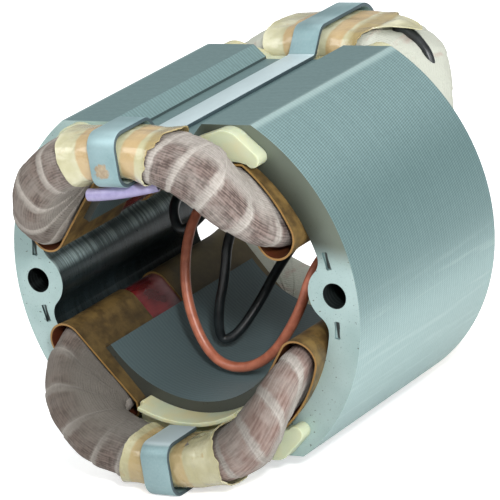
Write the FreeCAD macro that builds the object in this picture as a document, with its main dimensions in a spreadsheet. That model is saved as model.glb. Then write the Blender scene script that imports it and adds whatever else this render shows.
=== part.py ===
import FreeCAD, Part, Sketcher
import math
import os

# Wound stator of a two-pole universal motor.  The bore axis is Y, the origin is on
# that axis in the middle of the stack, and the poles face each other along Z.

V = FreeCAD.Vector
doc = FreeCAD.newDocument("wound_stator")

# ---------------------------------------------------------------- driving dimensions
DIMENSIONS = {
    # lamination
    "outer_radius": 45.0,
    "flat_height": 37.6,
    "stack_length": 58.0,
    "bore_radius": 26.4,
    "yoke_width": 7.6,
    "neck_half_width": 15.0,
    "shoe_root_height": 26.2,
    "tip_x": 23.6,
    "tip_z": 15.2,
    "corner_radius": 1.5,
    "bolt_spacing": 78.4,
    "bolt_hole_diameter": 5.8,
    "boss_radius": 6.6,
    "boss_blend": 4.0,
    "groove_mouth": 12.1,
    "groove_foot": 9.3,
    "groove_slope_depth": 2.8,
    "groove_depth": 3.4,
    "interlock_length": 4.0,
    "interlock_width": 1.2,
    "interlock_depth": 0.5,
    "interlock_x": 38.6,
    "interlock_z": 7.8,
    # slot insulation
    "paper": 0.45,
    "film": 0.25,
    "front_cuff_depth": 19.0,
    "back_cuff_depth": 27.0,
    "cuff_stand": 6.5,
    "cuff_flare": 1.2,
    # coils
    "wire_inset": 0.75,
    "leg_end": 27.0,
    "front_reach": 48.2,
    "back_reach": 55.6,
    "coil_gap": 5.0,
    "tape": 0.5,
    "sheath": 0.35,
    "sheath_half": 12.0,
    # end insulators
    "insulator_depth": 3.6,
    "insulator_inner": 28.9,
    "insulator_half": 14.2,
    "lip_depth": 6.5,
    # retaining straps
    "strap_width": 7.1,
    "strap_thickness": 0.9,
    # leads
    "lead_diameter": 2.3,
    "sleeve_diameter": 2.8,
}

sheet = doc.addObject("Spreadsheet::Sheet", "dims")
for row, (name, value) in enumerate(DIMENSIONS.items(), start=1):
    sheet.set("A%d" % row, name)
    sheet.set("B%d" % row, str(value))
    sheet.setAlias("B%d" % row, name)
doc.recompute()


def dim(name):
    """A driving dimension, read back from the sheet."""
    return float(sheet.get(name))


SUB_PARTS = []


def keep(obj, label):
    """Names an object as one of the sub-parts that are written out."""
    obj.Label = label
    SUB_PARTS.append(obj)
    return obj


# ------------------------------------------------------------------- sketch helpers
def new_body(label):
    return keep(doc.addObject("PartDesign::Body", label), label)


def new_sketch(body, role, loops, offset=None):
    """A sketch on one of the body's own planes, raised by an expression along its normal.
    On XZ_Plane the normal points to -Y, on YZ_Plane to +X."""
    sketch = body.newObject("Sketcher::SketchObject", "Sketch")
    plane = next(f for f in body.Origin.OriginFeatures if f.Role == role)
    sketch.AttachmentSupport = [(plane, "")]
    sketch.MapMode = "FlatFace"
    if offset:
        sketch.setExpression("AttachmentOffset.Base.z", offset)
    for edges in loops:
        sketch.addGeometry(edges, False)
    return sketch


def new_feature(body, kind, sketch, length=None, side="One side", reversed_way=False):
    """A Pad or Pocket of the sketch; length is an expression on the sheet."""
    feature = body.newObject("PartDesign::" + kind, kind)
    feature.Profile = sketch
    feature.SideType = side
    feature.Reversed = reversed_way
    if length:
        feature.setExpression("Length", length)
    else:
        feature.Type = "ThroughAll"
    doc.recompute()
    return feature


def closed_loop(start, *steps):
    """Edges of a closed outline: a point draws a line to it, a (via, end) pair an arc."""
    edges = []
    here = start
    for step in steps + (start,):
        if isinstance(step[0], tuple):
            via, end = step
            edges.append(Part.Arc(V(*here), V(*via), V(*end)))
        else:
            end = step
            if math.dist(here, end) > 1e-6:
                edges.append(Part.LineSegment(V(*here), V(*end)))
        here = end
    return edges


def polar(radius, angle):
    return (radius * math.cos(angle), radius * math.sin(angle))


def between(radius, first, last):
    """The middle of an arc about the origin, from point first to point last."""
    a = math.atan2(first[1], first[0])
    b = math.atan2(last[1], last[0])
    return polar(radius, (a + b) / 2)


def mirrored(step, sx, sz):
    """A point or a (via, end) pair with its signs changed."""
    if isinstance(step[0], tuple):
        return tuple(mirrored(p, sx, sz) for p in step)
    return (step[0] * sx, step[1] * sz)


# ------------------------------------------------------------- shape of one slot
WALL = dim("outer_radius") - dim("yoke_width")
ROOF = dim("flat_height") - dim("yoke_width")
NECK = dim("neck_half_width")
ROOT = (NECK, dim("shoe_root_height"))
TIP = (dim("tip_x"), dim("tip_z"))
BORE = dim("bore_radius")
MOUTH_RADIUS = {(1, 1): 4.34, (-1, 1): 4.1, (1, -1): 4.1, (-1, -1): 4.1}

shoe_length = math.dist(ROOT, TIP)
ALONG = ((TIP[0] - ROOT[0]) / shoe_length, (TIP[1] - ROOT[1]) / shoe_length)
NORMAL = (-ALONG[1], ALONG[0])
SHOE = NORMAL[0] * ROOT[0] + NORMAL[1] * ROOT[1]


def neck_foot(inset):
    """Where the pole's neck meets the back of the shoe."""
    x = NECK + inset
    return (x, (SHOE + inset - NORMAL[0] * x) / NORMAL[1])


def roof_corner(inset):
    """The rounded corner between the neck and the slot's roof."""
    r = dim("corner_radius") - inset
    x, z = NECK + inset, ROOF - inset
    if r < 0.2:
        return [(x, z)]
    bow = r * (1 - math.sqrt(0.5))
    return [(x, z - r), ((x + bow, z - bow), (x + r, z))]


def cell_outline(inset, sx, sz, flare=0.0):
    """One slot's insulation cell: pole neck, roof, yoke wall, rounded mouth and shoe back."""
    wall = WALL + flare
    mouth = MOUTH_RADIUS[sx, sz] + flare / 2
    reach = math.sqrt((wall - mouth) ** 2 - (SHOE + mouth) ** 2)
    centre = (
        NORMAL[0] * (SHOE + mouth) + ALONG[0] * reach,
        NORMAL[1] * (SHOE + mouth) + ALONG[1] * reach,
    )
    out = (centre[0] / (wall - mouth), centre[1] / (wall - mouth))
    r = mouth - inset
    on_wall = (centre[0] + out[0] * r, centre[1] + out[1] * r)
    on_shoe = (centre[0] - NORMAL[0] * r, centre[1] - NORMAL[1] * r)
    nose = (out[0] - NORMAL[0], out[1] - NORMAL[1])
    size = math.hypot(*nose)
    nose = (centre[0] + nose[0] / size * r, centre[1] + nose[1] / size * r)
    z = ROOF - inset
    on_roof = (math.sqrt((wall - inset) ** 2 - z**2), z)
    steps = roof_corner(inset) + [
        on_roof,
        (between(wall - inset, on_roof, on_wall), on_wall),
        (nose, on_shoe),
    ]
    return closed_loop(*[mirrored(s, sx, sz) for s in [neck_foot(inset)] + steps])


# ------------------------------------------------------------------ lamination stack
def punched_window():
    """The one hole of the stamping: bore, four slots and the gaps beside the bolt bosses."""
    bolt = dim("bolt_spacing") / 2
    boss = dim("boss_radius")
    blend = dim("boss_blend")
    far, near = WALL - blend, boss + blend
    bx = (far**2 - near**2 + bolt**2) / (2 * bolt)
    bz = math.sqrt(far**2 - bx**2)
    wall_end = (bx * WALL / far, bz * WALL / far)
    boss_end = (bolt + (bx - bolt) * boss / near, bz * boss / near)
    toward = math.hypot(wall_end[0] - bx + boss_end[0] - bx, wall_end[1] + boss_end[1] - 2 * bz)
    blend_mid = (
        bx + (wall_end[0] + boss_end[0] - 2 * bx) / toward * blend,
        bz + (wall_end[1] + boss_end[1] - 2 * bz) / toward * blend,
    )
    on_roof = (math.sqrt(WALL**2 - ROOF**2), ROOF)
    lip = (BORE * math.cos(0.5745), BORE * math.sin(0.5745))
    # from the bore's edge round the upper right slot to the boss
    quarter = [lip, TIP, neck_foot(0)] + roof_corner(0) + [
        on_roof,
        (between(WALL, on_roof, wall_end), wall_end),
        (blend_mid, boss_end),
    ]
    down = [((bolt - boss, 0), mirrored(boss_end, 1, -1))]
    back = [
        (mirrored(blend_mid, 1, -1), mirrored(wall_end, 1, -1)),
        (mirrored(between(WALL, on_roof, wall_end), 1, -1), mirrored(on_roof, 1, -1)),
        mirrored(roof_corner(0)[-1][1], 1, -1),
        (mirrored(roof_corner(0)[-1][0], 1, -1), mirrored(roof_corner(0)[0], 1, -1)),
        mirrored(neck_foot(0), 1, -1),
        mirrored(TIP, 1, -1),
        mirrored(lip, 1, -1),
    ]
    right = quarter + down + back
    left = [mirrored(s, -1, -1) for s in right]
    over = [((0, -BORE), left[0])] + left[1:] + [((0, BORE), lip)]
    return closed_loop(*(right + over))


def stamping_edge():
    """Round outside with two flats, each with a strap groove in its middle."""
    r, h = dim("outer_radius"), dim("flat_height")
    corner = (math.sqrt(r**2 - h**2), h)
    mouth = (dim("groove_mouth"), h)
    foot = (dim("groove_foot"), h - dim("groove_slope_depth"))
    floor = (dim("groove_foot"), h - dim("groove_depth"))
    half = [corner, mouth, foot, floor]
    top = half + [mirrored(p, -1, 1) for p in reversed(half)]
    low = [mirrored(p, -1, -1) for p in top]
    return closed_loop(*top, ((-r, 0), low[0]), *low[1:], ((r, 0), corner))


def build_stack():
    body = new_body("lamination_stack")
    sheet_outline = new_sketch(body, "XZ_Plane", [stamping_edge(), punched_window()])
    new_feature(body, "Pad", sheet_outline, "dims.stack_length", "Symmetric")

    holes = new_sketch(body, "XZ_Plane", [], "dims.stack_length / 2")
    for side in (-1, 1):
        circle = Part.Circle(V(side * dim("bolt_spacing") / 2, 0), V(0, 0, 1), 2)
        index = holes.addGeometry(circle, False)
        holes.addConstraint(Sketcher.Constraint("Diameter", index, dim("bolt_hole_diameter")))
        holes.setExpression("Constraints[%d]" % (holes.ConstraintCount - 1),
                            "dims.bolt_hole_diameter")
    new_feature(body, "Pocket", holes)

    # interlocks: a V pressed into every sheet, a dimple in front and a bump behind
    length, width = dim("interlock_length") / 2, dim("interlock_width") / 2
    marks = []
    for sx in (-1, 1):
        for sz in (-1, 1):
            x, z = dim("interlock_x"), dim("interlock_z")
            turn = math.atan2(z, x)
            c, s = math.cos(turn), math.sin(turn)
            box = [(-width, -length), (width, -length), (width, length), (-width, length)]
            box = [(x + u * c - w * s, z + u * s + w * c) for u, w in box]
            marks.append(closed_loop(*[mirrored(p, sx, sz) for p in box]))
    dimples = new_sketch(body, "XZ_Plane", marks, "dims.stack_length / 2")
    new_feature(body, "Pocket", dimples, "dims.interlock_depth")
    bumps = new_sketch(body, "XZ_Plane", marks, "-dims.stack_length / 2")
    new_feature(body, "Pad", bumps, "dims.interlock_depth", reversed_way=True)
    return body


# ------------------------------------------------------------------- slot insulation
SLOTS = {"upper_left": (-1, 1), "upper_right": (1, 1), "lower_left": (-1, -1), "lower_right": (1, -1)}
ENDS = {"front": -1, "back": 1}


def face_offset(sy, extra="0"):
    """Offset of an XZ sketch that lies extra beyond the front or back face."""
    sign = "-" if sy > 0 else ""
    return "%s(dims.stack_length / 2 + %s)" % (sign, extra)


# how far the cuffs on the left and on the right stand out of the faces at the mouth
STAND = {-1: 4.2, 1: dim("cuff_stand")}


def build_cuff(slot, end):
    """A paper tube pushed into one end of a slot, flared where it stands out of the face
    and cut slanting, long at the slot's mouth and short at its roof."""
    sx, sz = SLOTS[slot]
    sy = ENDS[end]
    body = new_body("%s_%s_cuff" % (slot, end))
    paper = dim("paper")
    at_face = [cell_outline(0, sx, sz), cell_outline(paper, sx, sz)]
    inner = new_sketch(body, "XZ_Plane", at_face, face_offset(sy))
    new_feature(body, "Pad", inner, "dims.%s_cuff_depth" % end, reversed_way=sy < 0)

    flare = dim("cuff_flare")
    loft = body.newObject("PartDesign::AdditiveLoft", "Flare")
    loft.Profile = new_sketch(body, "XZ_Plane", at_face, face_offset(sy))
    rim = [cell_outline(0, sx, sz, flare), cell_outline(paper, sx, sz, flare)]
    loft.Sections = [new_sketch(body, "XZ_Plane", rim, face_offset(sy, "dims.cuff_stand"))]
    loft.Ruled = True
    doc.recompute()

    half = dim("stack_length") / 2
    long_end, short_end = half + STAND[sx], half + 3.0
    low, high, beyond = 7.0, ROOF + 2, half + dim("cuff_stand") + 2
    wedge = [(long_end, low), (beyond, low), (beyond, high), (short_end, high)]
    cut = new_sketch(body, "YZ_Plane", [closed_loop(*[mirrored(p, sy, sz) for p in wedge])])
    new_feature(body, "Pocket", cut, side="Symmetric")


def build_liner(slot):
    """Red film round the coil side, between the wires and the paper."""
    sx, sz = SLOTS[slot]
    body = new_body("%s_slot_liner" % slot)
    paper, film = dim("paper"), dim("film")
    loops = [cell_outline(paper, sx, sz), cell_outline(paper + film, sx, sz)]
    new_feature(body, "Pad", new_sketch(body, "XZ_Plane", loops), "2 * dims.leg_end", "Symmetric")


# ------------------------------------------------------------------------------ coils
# An end turn is a band that leaves one slot, turns a corner, crosses in front of the pole
# and goes back in at the other slot.  Unrolled from a cylinder of radius ROLL it is flat:
# (s, y) lies in that cylinder and the height is the distance from the bore's axis.
ROLL = 35.0
LEG_ANGLE = 52.75
LEG_HALF_ANGLE = 20.25
PIVOT_RADIUS = 2.0
SQUARENESS = 3.0
SECTION_POINTS = 12
SWELL = 1.032
# how much the outer corner of each end turn is drawn in
PINCH = {"front": 1.2, "back": 5.0}
LIFT = {"top": 3.2, "bottom": 0.0}
# inner and outer radius from the slot, round the corner in steps of 22.5 deg, to the middle
INNER_RADII = (29.4, 29.4, 29.4, 29.6, 29.9, 30.3, 30.7, 30.9)
OUTER_RADII = {
    "front": (36.6, 36.6, 38.2, 40.3, 41.8, 42.1, 40.9, 39.7),
    "back": (36.6, 36.6, 38.0, 39.9, 41.2, 41.5, 40.2, 39.0),
}


def turn_stations(end, lift=0.0):
    """Half an end turn, from the slot to the middle of the pole.  Each station has the
    (s, y) of its edge next to the pole, the (s, y) of its outer edge and its two radii.
    The lift, in degrees, holds the limb's outer edge away from the slot's mouth."""
    half = dim("stack_length") / 2
    leg_in = math.radians(LEG_ANGLE - LEG_HALF_ANGLE) * ROLL
    leg_out = math.radians(LEG_ANGLE + LEG_HALF_ANGLE - lift) * ROLL
    gap, reach = half + dim("coil_gap"), dim(end + "_reach")
    ps, py = leg_in - PIVOT_RADIUS, gap - PIVOT_RADIUS
    first, last = leg_out - ps, reach - py
    edges = [((leg_in, dim("leg_end")), (leg_out, dim("leg_end")))]
    for k in range(5):
        a = math.pi / 8 * k
        far = last + (first - last) * (1 + math.cos(2 * a)) / 2
        far -= PINCH[end] * math.sin(2 * a) ** 2
        near = (ps + PIVOT_RADIUS * math.cos(a), py + PIVOT_RADIUS * math.sin(a))
        edges.append((near, (ps + far * math.cos(a), py + far * math.sin(a))))
    edges.append(((ps * 0.43, gap), (ps * 0.43, reach)))
    edges.append(((0.0, gap), (0.0, reach)))
    return [(e[0], e[1], lo, hi) for e, lo, hi in zip(edges, INNER_RADII, OUTER_RADII[end])]


def section_poles(station, sy, side, grow):
    """Control points of one closed section of the band, grown outward all round by grow.
    A cubic curve runs a little inside its control points, which SWELL makes up for."""
    (s1, y1), (s2, y2), low, high = station
    length = math.dist((s1, y1), (s2, y2))
    across = SWELL * (length / 2 + grow) / length
    upward = SWELL * ((high - low) / 2 + grow)
    poles = []
    for k in range(SECTION_POINTS):
        a = 2 * math.pi * k / SECTION_POINTS
        u = across * math.copysign(abs(math.cos(a)) ** (2 / SQUARENESS), math.cos(a))
        w = upward * math.copysign(abs(math.sin(a)) ** (2 / SQUARENESS), math.sin(a))
        s = (s1 + s2) / 2 + u * (s2 - s1)
        y = (y1 + y2) / 2 + u * (y2 - y1)
        r = (low + high) / 2 + w
        poles.append(V(side * r * math.sin(s / ROLL), sy * y, r * math.cos(s / ROLL)))
    return poles


def band(end, grow, place):
    """The whole band from slot to slot as one solid: a smooth skin and two flat feet."""
    right = turn_stations(end, LIFT[place])
    left = turn_stations(end)
    rows = [section_poles(s, ENDS[end], 1, grow) for s in right]
    rows += [section_poles(s, ENDS[end], -1, grow) for s in reversed(left[:-1])]
    knots = len(rows) - 2
    surface = Part.BSplineSurface()
    surface.buildFromPolesMultsKnots(
        rows, [4] + [1] * (knots - 2) + [4], [1] * (SECTION_POINTS + 1),
        list(range(knots)), list(range(SECTION_POINTS + 1)), False, True, 3, 3)
    skin = surface.toShape()
    feet = []
    for edge in skin.Edges:
        box = edge.BoundBox
        if box.YLength < 1e-6:
            feet.append(Part.Face(Part.Wire(edge)))
    shell = Part.Shell([skin] + feet)
    shell.sewShape()
    solid = Part.Solid(shell)
    if solid.Volume < 0:
        solid.reverse()
    return solid


def coil_side(sx):
    """The wires that fill one slot between the two end turns."""
    edges = cell_outline(dim("wire_inset"), sx, 1)
    wire = Part.Wire([e.toShape() for e in edges])
    wire.rotate(V(0, 0, 0), V(1, 0, 0), 90)
    wire.translate(V(0, dim("leg_end"), 0))
    return Part.Face(wire).extrude(V(0, -2 * dim("leg_end"), 0))


def build_coil_parts():
    """One coil and its coverings, made for the top and turned half a turn for the bottom."""
    turned = FreeCAD.Placement(V(0, 0, 0), FreeCAD.Rotation(V(0, 1, 0), 180))
    places = {"top": FreeCAD.Placement(), "bottom": turned}
    width = 2 * dim("sheath_half")
    for place, placement in places.items():
        wound = {end: band(end, -dim("tape"), place) for end in ENDS}
        taped = {end: band(end, 0, place) for end in ENDS}
        filmed = {end: band(end, dim("sheath"), place) for end in ENDS}
        coil = coil_side(-1).fuse([coil_side(1), wound["front"], wound["back"]])
        keep_solid("%s_coil" % place, coil, placement)
        # the film is not quite centred on the pole of the lower coil
        shift = 2.0 if place == "bottom" else 0.0
        slab = Part.makeBox(width, 200, 100, V(-width / 2 - shift, -100, 0))
        for end in ENDS:
            keep_solid("%s_%s_tape" % (place, end), taped[end].cut(wound[end]), placement)
            film = filmed[end].common(slab).cut(taped[end])
            keep_solid("%s_%s_sheath" % (place, end), film, placement)
            if place == "top" and end == "back":
                wrapping = (taped[end], film)
    return wrapping


def keep_solid(label, shape, placement=None):
    """A free-form part: its solid, then its place."""
    feature = keep(doc.addObject("Part::Feature", label), label)
    solids = sorted(shape.Solids, key=lambda s: s.Volume)
    feature.Shape = solids[-1]
    feature.Placement = placement or FreeCAD.Placement()
    return feature


# ----------------------------------------------------------------------------- straps
def rounded_path(points, radii):
    """A path of straight runs with a tangent arc at each inner corner, as (start, via, end)
    for arcs and (start, end) for runs."""
    pieces = []
    here = V(*points[0])
    for before, corner, after, radius in zip(points, points[1:], points[2:], radii):
        corner = V(*corner)
        a = (V(*before) - corner).normalize()
        b = (V(*after) - corner).normalize()
        half = a.getAngle(b) / 2
        cut = radius / math.tan(half)
        start, end = corner + a * cut, corner + b * cut
        middle = corner + (a + b).normalize() * (radius / math.sin(half) - radius)
        pieces += [(here, start), (start, middle, end)]
        here = end
    pieces.append((here, V(*points[-1])))
    return pieces


STRAP_CORNERS = [
    (-37.0, 29.35), (-49.05, 29.35), (-49.05, 40.95), (-35.9, 40.95), (-31.2, 34.65),
    (29.8, 34.65), (34.2, 40.3), (56.6, 40.3), (56.6, 29.3), (44.0, 29.3),
]
STRAP_RADII = (3.0, 3.2, 2.5, 1.5, 1.5, 3.0, 5.0, 3.0)


def strap_outline(flip):
    """The bent strip seen from the side: its middle line drawn twice, half a thickness to
    each side, and closed at both ends."""
    t = dim("strap_thickness") / 2
    sides = []
    for way in (1, -1):
        edges = []
        for piece in rounded_path([(y, z, 0) for y, z in STRAP_CORNERS], STRAP_RADII):
            edges.append(offset_piece(piece, way * t))
        sides.append(edges)
    there, back = sides
    steps = []
    for edge in there:
        steps.append(edge[1] if len(edge) == 2 else (edge[1], edge[2]))
    steps.append(back[-1][-1])
    for edge in reversed(back):
        steps.append(edge[0] if len(edge) == 2 else (edge[1], edge[0]))
    return closed_loop(*[mirrored(s, 1, flip) for s in [there[0][0]] + steps])


def offset_piece(piece, distance):
    """A run or an arc moved sideways; an arc keeps its centre."""
    if len(piece) == 2:
        a, b = piece
        along = (b - a).normalize()
        side = V(-along.y, along.x, 0) * distance
        return tuple((p.x + side.x, p.y + side.y) for p in (a, b))
    a, middle, b = piece
    centre = Part.Arc(a, middle, b).toShape().Curve.Center
    turning = (middle - a).cross(b - middle).z
    radius = (a - centre).Length
    r = radius - distance if turning > 0 else radius + distance
    moved = []
    for p in piece:
        q = centre + (p - centre) * (r / radius)
        moved.append((q.x, q.y))
    return tuple(moved)


def build_strap(place):
    body = new_body("%s_strap" % place)
    flip = 1 if place == "top" else -1
    profile = new_sketch(body, "YZ_Plane", [strap_outline(flip)])
    new_feature(body, "Pad", profile, "dims.strap_width", "Symmetric")


# --------------------------------------------------------------------- end insulators
def insulator_outline(sz):
    """Half-round plate on the end of one pole, with a rounded lobe over the yoke each side."""
    inner = dim("insulator_inner")
    half = dim("insulator_half")
    start = (half - 1.0, math.sqrt(inner**2 - (half - 1.0) ** 2))
    right = [
        ((half - 0.25, start[1] + 0.35), (half, start[1] + 1.3)),
        (half, 30.0),
        ((half + 0.15, 30.4), (half + 0.6, 30.5)),
        (21.2, 30.5),
        ((23.1, 30.3), (24.6, 29.9)),
        ((27.6, 30.2), (27.1, 32.4)),
        (23.7, 35.5),
        ((20.9, 37.3), (17.5, 37.0)),
        (11.75, 35.25),
        (10.0, 33.9),
    ]
    left = [start] + right
    back = []
    for k in range(len(left) - 1, 0, -1):
        before = left[k - 1] if not isinstance(left[k - 1][0], tuple) else left[k - 1][1]
        back.append((left[k][0], before) if isinstance(left[k][0], tuple) else before)
    steps = right + [(-10.0, 33.9)] + [mirrored(s, -1, 1) for s in back] + [((0, inner), start)]
    return closed_loop(*[mirrored(s, 1, sz) for s in [start] + steps])


def insulator_lip(sz):
    """The low rim that carries the end turn over the edge of the bore."""
    low, high = dim("insulator_inner"), dim("insulator_inner") + 1.0
    a = math.radians(26.0)
    near, far = [(r * math.sin(a), r * math.cos(a)) for r in (low, high)]
    steps = [near, far, ((0, high), mirrored(far, -1, 1)), mirrored(near, -1, 1), ((0, low), near)]
    return closed_loop(*[mirrored(s, 1, sz) for s in steps])


def build_insulator(place, end):
    body = new_body("%s_%s_insulator" % (place, end))
    sz = 1 if place == "top" else -1
    sy = ENDS[end]
    plate = new_sketch(body, "XZ_Plane", [insulator_outline(sz)], face_offset(sy))
    new_feature(body, "Pad", plate, "dims.insulator_depth", reversed_way=sy > 0)
    lip = new_sketch(body, "XZ_Plane", [insulator_lip(sz)], face_offset(sy))
    new_feature(body, "Pad", lip, "dims.lip_depth", reversed_way=sy > 0)


# ------------------------------------------------------------------------------ leads
def tube(label, points, diameter):
    """A wire as a solid: straight runs joined by arcs that touch both."""
    radii = []
    for before, corner, after in zip(points, points[1:], points[2:]):
        a, b = V(*before) - V(*corner), V(*after) - V(*corner)
        turn = math.pi - a.getAngle(b)
        radii.append(0.45 * min(a.Length, b.Length) / math.tan(turn / 2))
    print(label, "bend radii", [round(r, 1) for r in radii])
    solids = []
    length = 0.0
    for piece in rounded_path(points, radii):
        if len(piece) == 2:
            run = piece[1] - piece[0]
            solids.append(Part.makeCylinder(diameter / 2, run.Length, piece[0], run))
            length += run.Length
        else:
            start, middle, end = piece
            arc = Part.Arc(start, middle, end).toShape()
            circle = arc.Curve
            axis = (start - circle.Center).cross(middle - circle.Center).normalize()
            along = axis.cross(start - circle.Center)
            ring = Part.Wire(Part.Circle(start, along, diameter / 2).toShape())
            angle = math.degrees(arc.Length / circle.Radius)
            solids.append(Part.Face(ring).revolve(circle.Center, axis, angle))
            length += arc.Length
    solid = solids[0].fuse(solids[1:])
    section = math.pi * diameter**2 / 4
    print(label, "length", round(length, 1), "volume", round(solid.Volume, 1),
          "section x length", round(section * length, 1))
    return solid


LEADS = {
    "orange_lead": [
        (-6.0, 42.0, 33.5), (-6.5, 39.8, 25.6), (-9.4, 18.0, 18.0), (-12.2, -2.0, 9.5),
        (-13.5, -8.0, 0.9), (-12.4, -12.0, -10.5), (-7.5, -13.5, -21.9), (0.2, -14.0, -24.8),
        (10.0, -14.5, -21.2), (21.1, -17.0, -9.3), (26.8, -18.5, 1.0), (28.2, -10.0, 5.2),
        (28.2, 8.0, 5.6), (28.4, 27.0, 4.6), (29.3, 38.0, 5.6), (27.0, 40.0, 16.0),
    ],
    "long_black_lead": [
        (-2.0, 42.0, 33.5), (-2.5, 39.6, 26.0), (-3.8, 14.0, 12.6), (-5.3, -2.0, 3.4),
        (-6.4, -4.2, -6.5), (-9.2, -5.0, -14.2), (-10.4, -4.6, -21.8), (-7.0, -3.0, -21.2),
        (-3.2, 2.0, -15.4), (-0.3, 11.0, -6.6), (6.0, 26.0, 4.0), (13.0, 38.0, 14.0),
        (18.5, 44.0, 25.5),
    ],
    "short_black_lead": [
        (-17.0, 42.5, 29.5), (-14.5, 39.8, 22.4), (-16.6, 27.0, 16.6), (-19.8, 12.0, 12.0),
        (-20.8, 0.0, 9.7), (-17.4, -4.2, 3.4), (-13.9, -1.0, 5.0), (-12.4, 12.0, 11.0),
        (-10.8, 29.0, 19.5), (-10.0, 40.0, 25.4), (-10.3, 43.0, 33.0),
    ],
    "back_black_lead": [
        (15.5, 43.6, 33.0), (18.0, 43.6, 38.2), (22.0, 43.2, 35.8), (25.8, 42.4, 31.4),
        (26.0, 41.6, 26.0),
    ],
}


def build_leads(wrapping):
    """Each lead is cut where it dives into the wrapped end turn, so it ends on its skin."""
    for label, points in LEADS.items():
        solid = tube(label, points, dim("lead_diameter"))
        for cover in wrapping:
            solid = solid.cut(cover)
        keep_solid(label, solid)


def build_sleeve():
    """A short piece of loose sleeving under the front end turn of the top coil."""
    points = [(-8.0, -45.5, 26.6), (-3.4, -45.4, 26.7), (1.6, -44.6, 27.2), (8.0, -42.6, 27.0)]
    keep_solid("splice_sleeve", tube("splice_sleeve", points, dim("sleeve_diameter")))


# --------------------------------------------------------------------------- assembly
build_stack()
for slot in SLOTS:
    build_liner(slot)
    for end in ENDS:
        build_cuff(slot, end)
top_back_wrapping = build_coil_parts()
for place in ("top", "bottom"):
    build_strap(place)
    for end in ENDS:
        build_insulator(place, end)
build_leads(top_back_wrapping)
build_sleeve()
doc.recompute()

for item in doc.Objects:
    if "Invalid" in item.State or "Error" in item.State:
        raise RuntimeError("%s is in state %s" % (item.Label, item.State))

os.makedirs("parts", exist_ok=True)
for part in SUB_PARTS:
    shape = part.Shape
    if shape.isNull() or not shape.isValid() or not shape.Solids:
        raise RuntimeError("%s has no valid solid" % part.Label)
    box = shape.BoundBox
    print("%-28s solids %d volume %9.1f  x %.1f..%.1f y %.1f..%.1f z %.1f..%.1f" % (
        part.Label, len(shape.Solids), shape.Volume,
        box.XMin, box.XMax, box.YMin, box.YMax, box.ZMin, box.ZMax))
    shape.exportStep("parts/%s.step" % part.Label)
print(len(SUB_PARTS), "sub-parts")
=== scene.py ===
import math

import bmesh
import bpy
import numpy as np
from mathutils import Matrix, Vector, noise


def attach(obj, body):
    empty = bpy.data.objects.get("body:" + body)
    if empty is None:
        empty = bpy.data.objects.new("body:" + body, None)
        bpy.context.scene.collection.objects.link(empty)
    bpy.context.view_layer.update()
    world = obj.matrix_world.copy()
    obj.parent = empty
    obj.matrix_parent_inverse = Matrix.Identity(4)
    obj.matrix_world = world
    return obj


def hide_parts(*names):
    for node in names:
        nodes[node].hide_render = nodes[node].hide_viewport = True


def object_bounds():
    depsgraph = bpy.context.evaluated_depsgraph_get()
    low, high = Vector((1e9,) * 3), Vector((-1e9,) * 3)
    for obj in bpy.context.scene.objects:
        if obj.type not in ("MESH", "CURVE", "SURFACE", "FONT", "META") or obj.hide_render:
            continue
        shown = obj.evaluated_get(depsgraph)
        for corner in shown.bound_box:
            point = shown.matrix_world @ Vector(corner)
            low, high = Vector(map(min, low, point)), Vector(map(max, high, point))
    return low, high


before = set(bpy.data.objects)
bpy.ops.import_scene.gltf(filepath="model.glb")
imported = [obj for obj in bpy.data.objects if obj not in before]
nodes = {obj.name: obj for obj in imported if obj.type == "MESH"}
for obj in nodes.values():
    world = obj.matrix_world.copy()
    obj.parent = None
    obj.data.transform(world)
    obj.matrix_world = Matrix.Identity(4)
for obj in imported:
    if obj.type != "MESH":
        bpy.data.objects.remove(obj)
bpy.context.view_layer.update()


# ---------------------------------------------------------------- lamination stack
# About 116 electrical-steel sheets, each 0.5 mm, punched and pressed together by four
# interlocks.  The outside shows the sheets' edges as fine lines round the stack, the end
# faces show one flat sheet with its grey-green bluing and a little staining.  Light and
# shade are also painted into the steel's colour: on the outside, in the bore, in the bolt
# holes and on the end faces.
MM = 0.001
SHEET_PITCH = 0.5


def tone(red, green, blue):
    """A colour given as it looks on screen, 0 to 255, as the renderer's linear value."""
    def linear(value):
        value /= 255
        return value / 12.92 if value <= 0.04045 else ((value + 0.055) / 1.055) ** 2.4
    return (linear(red), linear(green), linear(blue), 1.0)


class Shade:
    """A socket of a finish.  Arithmetic on it adds Math nodes."""

    def __init__(self, finish, socket):
        self.finish = finish
        self.socket = socket

    def combine(self, operation, first, second):
        return self.finish.node("Math", {0: first, 1: second}, operation=operation)

    def __add__(self, other):
        return self.combine("ADD", self, other)

    __radd__ = __add__

    def __mul__(self, other):
        return self.combine("MULTIPLY", self, other)

    __rmul__ = __mul__

    def __sub__(self, other):
        return self.combine("SUBTRACT", self, other)

    def __rsub__(self, other):
        return self.combine("SUBTRACT", other, self)

    def __truediv__(self, other):
        return self.combine("DIVIDE", self, other)


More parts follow.
